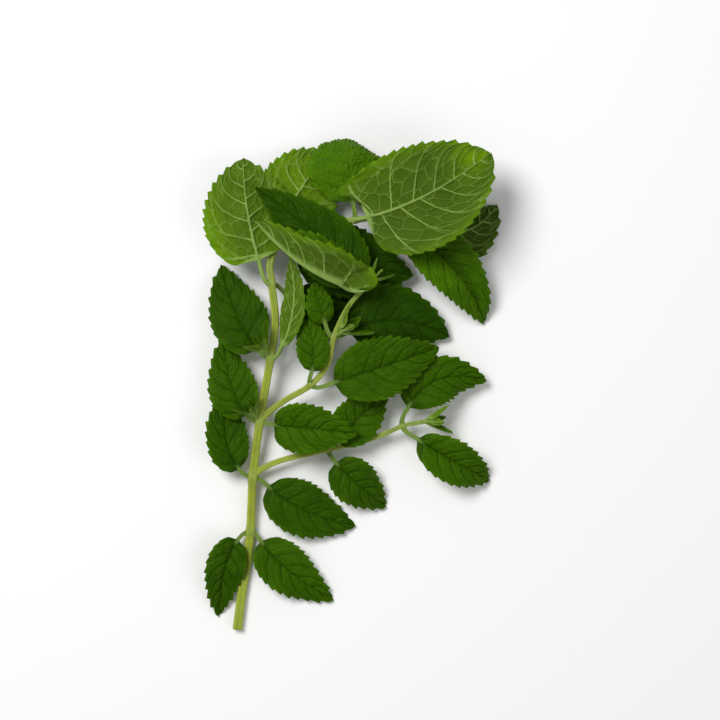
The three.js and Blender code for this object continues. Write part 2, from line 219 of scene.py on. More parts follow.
def shootTube(shoot, isFork):
    # Section at an angle a: half / (|cos a|^n + |sin a|^n)^(1/n), less a groove in each side,
    # carried along the shoot. Both ends close in rings that shrink to a point.
    points = shootPoints(shoot)
    spans = len(points) - 1
    fine = np.linspace(0, spans, 4000)
    steps = np.linalg.norm(np.diff(splineThrough(points, fine)[0], axis=0), axis=1)
    run = np.concatenate([[0], np.cumsum(steps)])
    rings = int(run[-1] / stem["ringStep"])
    beside = np.linspace(-stem["nodeRingReach"], stem["nodeRingReach"], stem["nodeRings"])
    runs = np.concatenate([np.linspace(0, run[-1], rings)]
                          + [np.interp(i, fine, run) + beside
                             for i in shoot["nodes"].values() if i < spans])
    runs = np.unique(np.round(np.clip(runs, 0, run[-1]), 2))
    place = np.interp(runs, run, fine)
    cutWidth, cutPush, cutPith = np.array(stem["cutEnd"]).T
    tipWidth, tipPush = np.array(stem["tipEnd"]).T
    shrink = np.concatenate([cutWidth, np.ones(len(place)), tipWidth])
    push = np.concatenate([cutPush, np.zeros(len(place)), tipPush])
    isCut = np.concatenate([cutPith, np.zeros(len(place) + len(tipWidth))])
    place = np.concatenate([np.repeat(place[0], len(cutWidth)), place, np.repeat(place[-1], len(tipWidth))])
    runs = np.interp(place, fine, run)
    centre, direction = splineThrough(points, place)
    along, across, above = frameAlong(direction)
    half = stemHalf(shoot, place) * shrink
    if isFork:
        half = half * (1 + stem["forkFlare"] * bell(runs, stem["forkReach"]))
    turn = np.linspace(0, 2 * np.pi, stem["pointsRound"], endpoint=False)
    c, s = np.cos(turn), np.sin(turn)
    power = stem["squareness"]
    section = 1 / (np.abs(c) ** power + np.abs(s) ** power) ** (1 / power)
    onSide = np.maximum(np.cos(4 * turn), 0)  # 1 at the middle of each side, 0 at the corners
    section = section * (1 - stem["grooveDepth"] * onSide ** stem["grooveShape"])
    nodeBump = sum(bell(place - i, stem["swellingReach"]) for i in shoot["nodes"].values())
    # at a node the grooves fill up, and a fine ridge runs round from leaf to leaf
    section = section[None, :] * (1 + stem["swellingFill"] * nodeBump[:, None] * onSide)
    ridge = sum(bell(runs - np.interp(i, fine, run), stem["ridgeWidth"]) for i in shoot["nodes"].values())
    radius = half[:, None] * section + stem["ridgeHeight"] * (ridge * shrink)[:, None]
    grid = (centre[:, None, :] + across[:, None, :] * (radius * c)[..., None]
            + above[:, None, :] * (radius * s)[..., None] + along[:, None, :] * push[:, None, None])
    grid[..., 2] = np.maximum(grid[..., 2] - stem["sink"], 0)
    rows, columns = grid.shape[:2]
    skin = np.stack(np.broadcast_arrays(radius * c, radius * s, runs[:, None]), -1)
    corner = np.broadcast_to(np.maximum(-np.cos(4 * turn), 0), (rows, columns))
    quads = np.vstack([gridFaces(rows, columns, wrap=True),
                       endFan(0, columns, flip=True), endFan((rows - 1) * columns, columns)])
    tube = {
        "points": grid.reshape(-1, 3), "quads": quads, "skin": skin.reshape(-1, 3),
        "values": {
            "pith": np.repeat(isCut, columns), "corner": corner.ravel().copy(),
            "joint": np.repeat(np.clip(nodeBump, 0, 1), columns),
            "share": np.repeat(runs / run[-1], columns),
        },
    }
    whole = slice(len(cutWidth), -len(tipWidth))
    return tube, grid[whole], across[whole], above[whole], turn


def endFan(first, columns, flip=False):
    # closes a ring with triangles from its first point
    j = np.arange(1, columns - 1)
    a, b, c = np.full_like(j, first), first + j, first + j + 1
    return np.stack([a, c, b, b] if flip else [a, b, c, c], -1)


hair = {"unevenLean": 0.45, "rootDepth": 0.05}


def hairSpikes(roots, outward, lengths, radius, rng, values):
    # Each hair is a three-sided spike: a small triangle at its root and one point, leaning a little
    count = len(roots)
    lean = unit(outward + hair["unevenLean"] * rng.normal(size=(count, 3)))
    side = unit(np.cross(lean, rng.normal(size=(count, 3))))
    other = np.cross(lean, side)
    angles = np.array([0, 2, 4]) * np.pi / 3
    ring = side[:, None, :] * np.cos(angles)[:, None] + other[:, None, :] * np.sin(angles)[:, None]
    base = roots[:, None, :] - hair["rootDepth"] * lean[:, None, :] + radius * ring
    tips = roots + lean * lengths[:, None]
    points = np.concatenate([base, tips[:, None, :]], 1).reshape(-1, 3)
    points[:, 2] = np.maximum(points[:, 2], 0.01)
    a = np.arange(count) * 4
    quads = np.vstack([np.stack([a, a + 1, a + 3, a + 3], -1), np.stack([a + 1, a + 2, a + 3, a + 3], -1),
                       np.stack([a + 2, a, a + 3, a + 3], -1), np.stack([a, a + 2, a + 1, a + 1], -1)])
    return {"points": points, "quads": quads, "skin": points.copy(),
            "values": {key: np.full(len(points), float(value)) for key, value in values.items()}}


# The leaves. node is where the leaf grows, middle and tip are points of its midrib. Angles are
# in degrees: roll 0 shows the upper side and 180 the underside, twist turns the tip further,
# fold raises both halves from the midrib and curl bends their margins back. round and taper
# shape the outline's base and tip, lobes push the base's two corners towards the stem, stalk is
# the stalk's length and wave the height of the waved margin. tone runs from a dark leaf to a
# bright yellow-green one, and the list of patches adds painted light to it round places (along,
# across, reach along, reach across, amount), painted shade where the amount is negative. quilt
# is the height of the puffs between side veins, pucker that of the small bulges in the net of
# fine veins, cell the size of its meshes and netShade how strongly it shows. veinLean is how far
# side veins run towards the tip, veinShade the strength of all veins and grain the distance
# between rows of points. On the upper side the veins are coloured darker: painted shade in
# their furrows.
leafForm = {
    "roll": 0, "twist": 0, "fold": 14, "curl": -22, "round": 0.68, "taper": 1.02, "stalk": 5, "wave": 0.5,
    "lobes": (1.5, 1.5), "tone": 0.3, "paintedLightAndShade": [], "pucker": 0.32, "quilt": 0.45, "grain": 0.5,
    "netShade": 0.36, "cell": 1.15, "veinLean": 0.28, "veinShade": 1.0,
}
blade = {
    "halfThickness": 0.15, "marginThinning": 0.6, "keelHeight": 0.68, "keelWidth": 0.42,
    "fullWidth": 16,  # narrower leaves have finer teeth, veins and relief
    "stalkHalfWidth": 0.75, "stalkGap": 0.35, "stalkInside": 0.3, "stalkRows": 18, "youngStalkRows": 4,
    "stalkFlare": 0.35, "stalkFlareReach": 1.6, "bodyReach": 3.2, "unfurlRate": 8,
    "fewestTeeth": 3, "teethPerMm": 0.23, "toothDepth": 0.9, "toothLean": 0.68, "toothForward": 0.8,
    "veinPairs": 6, "veinScatter": 0.1,
    "veinStart": {-1: 0.22, 1: 0.6},  # first side vein left and right, in shares of their spacing
    "veinHeight": 0.22, "veinWidth": 0.23, "netHeight": 0.1, "lobeRise": 0.1,
}
broad = {"roll": 180, "round": 0.58, "taper": 0.87}
leaves = {
    "leaf_1_left": ("n1", (-45, -65, 4.6), (-48, -84, 0.4), 15, {"fold": 22, "twist": -18}),
    "leaf_1_right": ("n1", (-24, -65.5, 4.5), (-6, -78, 0.4), 18,
                     {"roll": -12, "fold": 18, "twist": 20, "tone": 0.45}),
    "leaf_2_left": ("n2", (-44.6, -20, 6.5), (-44.5, 1, 0.4), 16, {"roll": 10, "fold": 20, "twist": 14}),
    "leaf_2_right": ("n2", (-18, -44.3, 4.5), (2, -51, 0.4), 20, {"roll": 8, "fold": 10, "twist": -22}),
    "leaf_3_left": ("n3", (-42, -2, 7.8), (-46, 18, 4), 18, {"roll": -10, "twist": 12, "tone": 0.4}),
    "leaf_3_right": ("n3", (-17, -15, 12.3), (3, -17, 12), 19,
                     {"roll": 14, "fold": 24, "twist": -16, "tone": 0.5}),
    "leaf_4_left": ("n4", (-40, 24, 8.5), (-47, 44, 0.4), 21, {"roll": 8, "twist": -14, "tone": 0.25}),
    "leaf_4_right": ("n4", (-20.3, 28, 16.5), (-22, 47, 14), 9, {"roll": 160, "tone": 0.3}),
    "leaf_5_left": ("n5", (-36, 59, 16.2), (-38.5, 82, 11), 33,
                    {**broad, "stalk": 9, "lobes": (4, 1.5), "tone": 0.3, "grain": 0.34,
                     "netShade": 0.4, "cell": 1.3, "veinLean": 0.33,
                     "paintedLightAndShade": [(0.3, -1.0, 0.4, 0.42, 0.6), (0.1, 0.9, 0.3, 0.5, 0.3)]}),
    "leaf_5_right": ("n5", (-12, 27, 5), (7, 31, 1.5), 22, {"fold": 10, "twist": 12}),
    "leaf_6_left": ("n6", (-17.5, 71.5, 7.8), (-7, 84.5, 0.4), 29, {**broad, "tone": 0.72, "grain": 0.42}),
    "leaf_6_right": ("n6", (-2, 45.2, 8.9), (23, 40, 6), 27, {"fold": 8, "tone": 0.08, "grain": 0.42}),
    "leaf_7_left": ("n7", (-0.2, 80, 13.4), (0.5, 89, 2), 33,
                    {"fold": -6, "stalk": 3, "round": 0.58, "taper": 0.62, "tone": 0.7, "pucker": 0.5,
                     "cell": 0.55, "grain": 0.36, "veinShade": 0.45,
                     "paintedLightAndShade": [(0.7, 0.0, 0.4, 1.0, 0.2)]}),
    "leaf_7_right": ("n7", (25.5, 66.9, 26.3), (50, 83, 22), 38,
                     {**broad, "fold": 4, "round": 0.52, "taper": 0.72, "lobes": (20, 3), "tone": 0.1,
                      "grain": 0.3, "netShade": 0.46, "cell": 1.3, "veinLean": 0.33,
                      "paintedLightAndShade": [(0.93, -0.35, 0.15, 0.7, 1.0), (0.15, -0.9, 0.3, 0.4, 0.25),
                               (0.6, -1.05, 0.5, 0.2, 0.35), (0.7, 1.0, 0.3, 0.2, 0.3)]}),
    "leaf_8_left": ("n8", (16.8, 74.3, 7.6), (21.5, 86, 5), 14, {"tone": 0.4}),
    "leaf_8_right": ("n8", (36.2, 43.2, 14), (48.5, 22.5, 0.4), 20,
                     {"fold": 20, "twist": -12, "tone": 0.62, "pucker": 0.4, "cell": 0.7, "grain": 0.42,
                      "paintedLightAndShade": [(0.5, -0.6, 0.5, 0.5, 0.2), (0.5, 0.15, 0.6, 0.2, -0.35)]}),
    "leaf_9_left": ("n9", (30, 77, 10), (39, 83, 7), 17, {}),
    "leaf_9_right": ("n9", (39, 55.5, 8), (53.5, 66, 0.4), 24, {"roll": 180, "tone": 0.0}),
    "upper_leaf_1_left": ("s1", (-13.2, 13, 15.1), (-17, 27.5, 11.2), 12, {"tone": 0.5}),
    "upper_leaf_1_right": ("s1", (9, 6, 13.8), (32, 14, 12.5), 23,
                           {"roll": -10, "fold": 20, "stalk": 8, "twist": 24, "tone": 0.4}),
    "upper_leaf_2_left": ("s2", (-10.5, 27.5, 17), (-13, 37, 17), 10, {"tone": 0.5}),
    "upper_leaf_2_right": ("s2", (14, 23.5, 10.5), (36, 18, 2.5), 27, {"fold": 8, "twist": 10, "tone": 0.12}),
    "upper_leaf_3_left": ("s3", (-16.5, 42.3, 29), (-34, 59, 25.5), 27,
                          {"roll": 75, "fold": 81, "curl": -14, "round": 0.45, "taper": 1.0, "stalk": 3,
                           "lobes": (0, 14), "tone": 0.12, "grain": 0.3, "netShade": 0.46,
                           "veinLean": 0.33,
                           "paintedLightAndShade": [(0.5, 1.0, 0.6, 0.3, 0.4), (0.5, -1.0, 0.6, 0.3, 0.4)]}),
    "upper_leaf_3_right": ("s3", (-8.7, 50.8, 17), (-34, 71, 19), 24,
                           {"roll": 4, "fold": 6, "stalk": 3, "tone": 0.2, "pucker": 0.42, "cell": 0.6,
                            "grain": 0.4}),
    "lower_leaf_1_left": ("q1", (2, -13, 7.8), (13, 0, 5), 17,
                          {"roll": -8, "fold": 20, "twist": 16, "tone": 0.45}),
    "lower_leaf_1_right": ("q1", (1, -34, 6.5), (13, -44, 0.4), 17,
                           {"roll": 12, "fold": 16, "twist": -20, "tone": 0.35}),
    "lower_leaf_2_left": ("q2", (30, 1.5, 9.5), (49.5, 2, 4), 18,
                          {"roll": -6, "fold": 18, "twist": 16, "tone": 0.45}),
    "lower_leaf_2_right": ("q2", (37, -27, 8), (50.5, -34, 0.4), 17,
                           {"roll": 14, "fold": 30, "twist": -20, "tone": 0.5}),
}


def midribPath(leaf):
    # A quadratic curve from the stalk's start, over the middle, to the tip
    middle = np.array(leaf["middle"], float)
    tip = np.array(leaf["tip"], float)
    start = origin = leaf.get("root")
    away = None
    if start is None:
        origin, along, half = nodePoints[leaf["node"]]
        away = 2 * middle - (origin + tip) / 2 - origin
        away = unit(away - along * (away @ along))
        start = origin + away * (half * (1 + stem["swelling"]) + blade["stalkGap"])
    return start, 2 * middle - (start + tip) / 2, tip, origin, away


def outline(x, leaf):
    # x^r (1 - x)^t over its greatest value, at x = r / (r + t)
    r, t = leaf["round"], leaf["taper"]
    shape = lambda s: s**r * (1 - s) ** t
    return shape(np.clip(x, 0, 1)) / shape(r / (r + t))


def veinArch(s, d, lean):
    # how far a side vein has run towards the tip at a share d of the half width: r over the
    # fourth root of 1 + (r / (1 - s))^4, so that it never passes the tip
    run = lean * (0.86 * d**1.1 + 0.26 * d**5) * np.sin(np.pi * np.clip(s, 0, 1) ** 0.8)
    return run / (1 + (run / (1 - s)) ** 4) ** 0.25


def marginTeeth(x, count, rng):
    # Saw teeth that rise slowly to a point and drop sharply; none at the base
    heights = rng.uniform(0.75, 1.15, count + 1)
    heights[0] = 0
    k = np.clip(np.floor(x * count).astype(int), 0, count)
    phase = x * count - k
    lean = blade["toothLean"]
    rise = np.clip(phase / lean, 0, 1) ** 0.85
    drop = np.clip((1 - phase) / (1 - lean), 0, 1) ** 1.3
    return heights[k] * np.where(phase < lean, rise, drop) * smoothStep((1.01 - x) / 0.1)


def rowPlaces(length, half, teeth, veins, rowStep, lean):
    # Places s of the rows: even along midrib and margin, closer beside each side vein, and one
    # at each notch and tooth
    fine = np.linspace(0, 0.997, 4000)
    margin = fine + veinArch(fine, 1.0, lean)
    edge = np.column_stack([margin * length, half(margin)])
    run = np.concatenate([[0], np.cumsum(np.linalg.norm(np.diff(edge, axis=0), axis=1))])
    mixed = 0.45 * fine / fine[-1] + 0.55 * run / run[-1]
    even = np.interp(np.linspace(0, 1, int(length / rowStep)), mixed, fine)
    nearVein = np.array([-0.55, -0.3, -0.13, 0.0, 0.13, 0.3, 0.55]) / length
    beside = (veins[:, None] + nearVein).ravel()
    corners = np.concatenate([np.arange(1, teeth), np.arange(1, teeth) + blade["toothLean"]]) / teeth
    places = np.sort(np.concatenate([even, beside[(beside > 0) & (beside < 0.99)],
                                     np.interp(corners, margin, fine)]))
    return places[np.append(True, np.diff(places) > 0.25 * rowStep / length)]


def netEdges(along, out, panel, reach, size, rng):
    # Distance to the border between the two nearest cell middles, which lie in two rows beside
    # each side vein: (F2^2 - F1^2) / (2 |c2 - c1|)
    rows = np.arange(-1, blade["veinPairs"] + 1)[:, None, None] + np.array([0.27, 0.73])[None, :, None]
    steps = np.arange(-1, int(reach / size) + 2)[None, None, :]
    shape = (len(rows), 2, steps.shape[2])
    u = (rows + rng.uniform(-0.15, 0.15, shape)) * panel
    w = (steps + np.array([0.0, 0.5])[None, :, None] + rng.uniform(-0.36, 0.36, shape)) * size
    middles = np.stack([u.ravel(), w.ravel()], -1)
    places = np.stack([along.ravel(), out.ravel()], -1)
    squared = ((places[:, None, :] - middles[None, :, :]) ** 2).sum(-1)
    nearest = np.argpartition(squared, 1, axis=1)[:, :2]
    pair = np.sort(np.take_along_axis(squared, nearest, 1), axis=1)
    apart = np.linalg.norm(middles[nearest[:, 0]] - middles[nearest[:, 1]], axis=1)
    return ((pair[:, 1] - pair[:, 0]) / (2 * apart)).reshape(along.shape)


def leafShell(leaf, seed, toothed=True):
    # A closed shell over rows s along the leaf and columns v across it, from -1 to 1. A point
    # lies at x = s + veinArch on the midrib's curve B(x), out to the side on an arc whose slope
    # is fold + curl d, raised by the relief, and half the blade's thickness over or under it.
    rng = np.random.default_rng(seed)
    start, bend, tip, origin, away = midribPath(leaf)
    length = np.linalg.norm(tip - start)
    stalkShare = leaf["stalk"] / length
    bladeLength = length - leaf["stalk"]
    width = leaf["width"]
    size = min(1, width / blade["fullWidth"])
    teeth = int(round(blade["fewestTeeth"] + blade["teethPerMm"] * length))
    lean = leaf["veinLean"]
    pairs = blade["veinPairs"]
    toothDepth = blade["toothDepth"] * size if toothed else 0
    stalkHalf = blade["stalkHalfWidth"] * leaf.get("stalkScale", 1)
    fullness = lambda x: (width / 2 - toothDepth / 2) * outline(x, leaf)
    scatter = blade["veinScatter"]
    veins = {side: (np.arange(pairs) + first + rng.uniform(-scatter, scatter, pairs)) / pairs
             for side, first in blade["veinStart"].items()}
    bothVeins = np.concatenate([veins[-1], veins[1]])
    s = rowPlaces(bladeLength, fullness, teeth, bothVeins, leaf["grain"], lean)

    reach = int(np.clip(width * 0.4 / leaf["grain"], 6, 52))
    steps = np.linspace(0, 1, reach + 1)[1:] ** 1.08
    v = np.concatenate([-steps[::-1], [0], steps])
    d = np.abs(v)[None, :]
    side = np.sign(v)[None, :]

    # the stalk's rows come first, from inside the stem
    inside = blade["stalkInside"]
    stalkCount = blade["stalkRows"] if "node" in leaf else blade["youngStalkRows"]
    stalkRows = np.linspace(-inside / length, stalkShare, stalkCount)[:-1]
    rows = len(stalkRows) + len(s)
    s = np.concatenate([np.zeros(len(stalkRows)), s])[:, None]
    onBlade = (np.arange(rows) >= len(stalkRows))[:, None]
    phase = rng.uniform(0, 6.28, 3)
    wobble = 0.01 * np.sin(11 * s + phase[0]) * np.sin(2.2 * np.pi * d + phase[1]) * smoothStep(s / 0.1)
    x = np.where(onBlade, s + veinArch(s, d, lean) + wobble * d * (1 - d) * (1 - s), 0)
    xMargin = np.where(onBlade, s + veinArch(s, 1.0, lean), 0)
    t = np.where(onBlade, stalkShare + (1 - stalkShare) * x,
                 np.concatenate([stalkRows, np.zeros(rows - len(stalkRows))])[:, None])
    body = smoothStep(x * bladeLength / blade["bodyReach"])
    fromStem = (t + inside / length) * length
    flare = 1 + blade["stalkFlare"] * bell(fromStem, blade["stalkFlareReach"]) * ~onBlade
    half = np.sqrt(fullness(x) ** 2 + (stalkHalf * flare * np.exp(-x / 0.05)) ** 2)
    teethLeft, teethRight = (marginTeeth(xMargin, teeth, rng) for _ in range(2))
    tooth = np.where(side < 0, teethLeft, teethRight) * smoothStep((d - 0.74) / 0.26)

    # section: arc from the midrib to the margin
    across = d + toothDepth * tooth / np.maximum(half, 0.3)
    unfurl = np.clip(x * blade["unfurlRate"], 0, 1)
    fold = np.radians(leaf["fold"]) * unfurl
    curl = np.radians(leaf["curl"]) * unfurl
    curl = np.where(np.abs(curl) < 1e-5, -1e-5, curl)
    slope = fold + curl * across
    lateral = half * (np.sin(slope) - np.sin(fold)) / curl
    height = half * (np.cos(fold) - np.cos(slope)) / curl

    # place of a point between two side veins, and its distance from them and the finer ones
    panel = bladeLength / pairs
    out = across * half
    between, toVein, toLoop, net = (np.zeros_like(x) for _ in range(4))
    for sign, places in veins.items():
        here = v * sign > 0 if sign > 0 else v <= 0
        ends = np.concatenate([[places[0] - 1 / pairs], places, [places[-1] + 1 / pairs]])
        local = np.broadcast_to(s, x.shape)[:, here]
        count = np.interp(local, ends, np.arange(-1, pairs + 1))
        between[:, here] = count
        toVein[:, here] = np.min(np.abs(local[..., None] - places), -1) * bladeLength * 0.8
        bow = np.clip((d[:, here] - 0.62) / 0.28, 0, 1.15) ** 1.4 * 0.92
        loop = np.min(np.abs(local[..., None] - places - bow[..., None] / pairs), -1)
        toLoop[:, here] = np.where(d[:, here] > 0.6, loop * bladeLength * 0.45, 9.0)
        cell = max(1.5, 0.075 * width + 0.9) * leaf["cell"]
        net[:, here] = netEdges(count * panel, out[:, here], panel, width / 2, cell, rng)
    fade = smoothStep(s / 0.04) * (1 - smoothStep((d - 0.85) / 0.2))
    veinWidth = blade["veinWidth"] * (0.35 + 0.65 * size) * (1 - 0.45 * d)
    fadeOut = lambda begin, over: 1 - smoothStep((d - begin) / over)  # towards the margin
    sideVein = np.where(onBlade, bell(toVein, veinWidth) * (1 - 0.4 * d) * fadeOut(0.9, 0.12), 0)
    netWidth = 0.6 * max(leaf["grain"], 0.54 * width / reach)  # wide enough for the grid to draw
    loopWidth = np.maximum(veinWidth * 0.9, netWidth)
    loopVein = np.where(onBlade, bell(toLoop, loopWidth) * 0.5 * fadeOut(0.93, 0.07), 0)
    netVein = np.where(onBlade, bell(net, netWidth) * leaf["netShade"] * fadeOut(0.94, 0.06), 0)
    keelWidth = blade["keelWidth"] * size * (1 - x) + 0.2
    midrib = bell(lateral, keelWidth)

    # relief of the whole blade: puffs between side veins, small bulges in the net, waved margin
    puff = np.abs(np.sin(np.pi * between)) * np.sin(np.pi * d**0.7) ** 0.7
    bulge = smoothStep(net / 0.9) * (1 - 0.7 * midrib)
    ripple = np.sin(2 * np.pi * (2.3 * x + np.where(side > 0, 0.35, 0)))
    fineRipple = 0.22 * size * d**5 * np.sin(2 * np.pi * 6.3 * x + phase[2] + side)
    uneven = 0.82 + 0.3 * np.sin(7 * x + phase[0] + 2 * side) * np.sin(5 * d + phase[1])
    relief = body * (leaf["quilt"] * puff * fade**0.3 * uneven + leaf["pucker"] * bulge * size + fineRipple)
    # the two halves of a folded leaf keep clear of each other
    relief = np.minimum(relief, 0.6 * lateral / np.maximum(np.sin(slope), 0.05) + 0.3 * (slope < 1))
    wave = body * leaf["wave"] * d**2 * unfurl * ripple
    lobes = np.where(side < 0, *leaf["lobes"])
    sweep = lobes * d**1.5 * (1 - x) ** 4 * smoothStep(x / blade["lobeRise"])
    forward = blade["toothForward"] * size * tooth * toothed

    w = t[..., None]
    centre = (1 - w) ** 2 * start + 2 * w * (1 - w) * bend + w**2 * tip
    along, level, above = frameAlong((1 - w) * (bend - start) + w * (tip - bend))
    if away is not None:
        # the stalk swings out of the middle of the stem: a cubic from there, square to the stem,
        # that joins the midrib's curve where the blade begins
        joined = len(stalkRows)
        u = np.linspace(0, 1, joined + 1)[:-1, None, None]
        target, heading = centre[joined, len(v) // 2], along[joined, len(v) // 2]
        pull = np.linalg.norm(target - origin)
        a, b = away * pull * 1.1, heading * pull * 1.1
        centre[:joined] = ((2 * u**3 - 3 * u**2 + 1) * origin + (u**3 - 2 * u**2 + u) * a
                           + (3 * u**2 - 2 * u**3) * target + (u**3 - u**2) * b)
        along[:joined] = unit((6 * u**2 - 6 * u) * (origin - target) + (3 * u**2 - 4 * u + 1) * a
                              + (3 * u**2 - 2 * u) * b)
        lengthways = (level[joined] * along[:joined]).sum(-1, keepdims=True)
        level[:joined] = unit(level[joined] - along[:joined] * lengthways)
        above[:joined] = np.cross(along[:joined], level[:joined])
    roll = np.radians(leaf["roll"] + leaf["twist"] * t)[..., None]
    sideways = level * np.cos(roll) + above * np.sin(roll)
    normal = np.cross(along, sideways)
    outward = normal * np.cos(slope)[..., None] - sideways * (side * np.sin(slope))[..., None]
    points = (centre + sideways * (side * lateral)[..., None] + normal * (height + wave)[..., None]
              + outward * relief[..., None] + along * (forward - sweep)[..., None])

    # thickness: a rounded, channelled stalk turns into a thin blade with a keel and raised veins
    arc = np.sqrt(np.clip(1 - d**2, 0, 1))
    stalkUpper = (0.28 + 0.14 * arc - 0.2 * bell(d, 0.45)) * stalkHalf / blade["stalkHalfWidth"]
    stalkLower = (0.28 + 0.8 * arc) * stalkHalf / blade["stalkHalfWidth"]
    thin = blade["halfThickness"] * (0.55 + 0.45 * size) * (1 - blade["marginThinning"] * d**10)
    bladeUpper = thin - 0.13 * size * midrib - 0.05 * size * np.maximum(sideVein, loopVein)
    keel = (blade["keelHeight"] * size * np.clip(1 - x, 0, 1) ** 1.1 + 0.06) * midrib
    raisedVeins = (blade["veinHeight"] * size * np.maximum(sideVein, loopVein)
                   + blade["netHeight"] * size * netVein)
    bladeLower = thin + np.maximum(keel, raisedVeins)
    upper = points + outward * (stalkUpper * (1 - body) + bladeUpper * body)[..., None]
    lower = points - outward * (stalkLower * (1 - body) + bladeLower * body)[..., None]
    lower[..., 2] = np.maximum(lower[..., 2], 0.02)
    upper[..., 2] = np.maximum(upper[..., 2], 0.1)

    # faces: two skins, stitched along both margins and both ends
    columns = len(v)
    count = rows * columns
    i = np.arange(rows - 1) * columns
    j = np.arange(columns - 1)
    left = np.stack([i, i + count, i + columns + count, i + columns], -1)
    right = (i + columns - 1)[:, None] + np.array([0, columns, columns + count, count])
    first = np.stack([j, j + 1, j + 1 + count, j + count], -1)
    last = (rows - 1) * columns + np.stack([j, j + count, j + 1 + count, j + 1], -1)
    quads = np.vstack([gridFaces(rows, columns, flip=True), gridFaces(rows, columns, first=count),
                       left, right, first, last])

    vein = np.maximum.reduce([midrib * (0.55 + 0.45 * (1 - x)), sideVein, loopVein, netVein])
    vein = np.where(onBlade, vein * leaf["veinShade"] * body + (1 - body), 1.0)
    stalky = np.broadcast_to(np.where(onBlade, bell(lateral, 0.6) * (1 - body), 1.0), (rows, columns))
    tone = leaf["tone"] + 0.16 * d**8 + 0.3 * toothed * tooth * d**4
    # patches of painted light over the tone, painted shade where the amount is negative
    for along0, across0, alongReach, acrossReach, amount in leaf["paintedLightAndShade"]:
        tone = tone + amount * bell(x - along0, alongReach) * bell(v[None, :] - across0, acrossReach)
    flat = np.stack([x * bladeLength + seed * 37.0, side * out + 0 * x, 0 * x], -1)
    two = lambda a: np.concatenate([np.broadcast_to(a, (rows, columns)).ravel()] * 2)
    shell = {
        "points": np.vstack([upper.reshape(-1, 3), lower.reshape(-1, 3)]),
        "quads": quads, "skin": np.vstack([flat.reshape(-1, 3)] * 2),
        "values": {"vein": two(vein), "tone": two(np.clip(tone, 0, 1)),
                   "under": np.concatenate([0.6 * stalky.ravel(), np.ones(count)]),
                   "young": np.full(2 * count, leaf.get("young", 0.0))},
    }
    hairs = leafHairs(lower, outward, vein, onBlade, d, rng, leaf, size)
    return joinParts([shell, hairs]) if hairs else shell


leafHair = {"perSquareMm": 1.1, "length": 0.38, "radius": 0.02, "offVeins": 0.03, "onMargin": 1.2,
            "paler": 0.25}


def leafHairs(lower, outward, vein, onBlade, d, rng, leaf, size):
    # Short hairs on the veins of the underside and along the margin
    columns = lower.shape[1]
    area = leaf["width"] * np.linalg.norm(lower[-1, columns // 2] - lower[0, columns // 2]) * 0.6
    count = int(area * leafHair["perSquareMm"])
    weight = vein**2 + leafHair["offVeins"] + leafHair["onMargin"] * (d > 0.995)
    weight = (np.broadcast_to(onBlade, vein.shape) * weight).ravel()
    picks = rng.choice(len(weight), count, p=weight / weight.sum())
    roots = lower.reshape(-1, 3)[picks]
    away = -outward.reshape(-1, 3)[picks]
    onEdge = np.broadcast_to(d > 0.995, vein.shape).ravel()[picks]
    middle = np.repeat(lower[:, columns // 2], columns, axis=0)[picks]
    away = np.where(onEdge[:, None], unit(roots - middle + 1e-9), away)
    lengths = leafHair["length"] * rng.uniform(0.6, 1.3, count) * (0.5 + 0.5 * size)
    values = {"vein": 1, "tone": min(1, leaf["tone"] + leafHair["paler"]), "under": 1,
              "young": leaf.get("young", 0)}
    return hairSpikes(roots, away, lengths, leafHair["radius"], rng, values)


# Shader groups. Each puts out colours, masks or heights only.

def newGroup(name, inputs, outputs):
    tree = bpy.data.node_groups.new(name, "ShaderNodeTree")
    for socketName, socketType, default in inputs:
        socket = tree.interface.new_socket(socketName, in_out="INPUT", socket_type=socketType)
        if default is not None:
            socket.default_value = default
    for socketName, socketType in outputs:
        tree.interface.new_socket(socketName, in_out="OUTPUT", socket_type=socketType)
    return tree, tree.nodes.new("NodeGroupInput"), tree.nodes.new("NodeGroupOutput")


class Graph:
    # Adds nodes to a tree and links them, in one call each
    def __init__(self, tree):
        self.tree = tree

    def add(self, kind, settings=None, **inputs):
        node = self.tree.nodes.new("ShaderNode" + kind)
        for key, value in (settings or {}).items():
            setattr(node, key, value)
        for key, value in inputs.items():
            # i0, i1 and so on are sockets by number, any other key is a socket's name
            byNumber = key[0] == "i" and key[1:].isdigit()
            self.put(node.inputs[int(key[1:]) if byNumber else key], value)
        return node

    def put(self, socket, value):
        if isinstance(value, bpy.types.NodeSocket):
            self.tree.links.new(value, socket)
        else:
            socket.default_value = value

    def math(self, operation, a, b=0.0, clamp=False):
        return self.add("Math", {"operation": operation, "use_clamp": clamp}, i0=a, i1=b).outputs[0]

    def mix(self, factor, a, b, blend="MIX"):
        node = self.add("Mix", {"data_type": "RGBA", "blend_type": blend}, Factor=factor)
        self.put(node.inputs[6], a)
        self.put(node.inputs[7], b)
        return node.outputs[2]

    def value(self, name):
        return self.add("Attribute", {"attribute_name": name}).outputs["Fac"]

    def spread(self, value, low, high, a=0.0, b=1.0):
        # value from low..high to a..b, held at the ends
        settings = {"clamp": True, "interpolation_type": "SMOOTHSTEP"}
        return self.add("MapRange", settings, **{"Value": value, "From Min": low, "From Max": high,
                                                 "To Min": a, "To Max": b}).outputs[0]


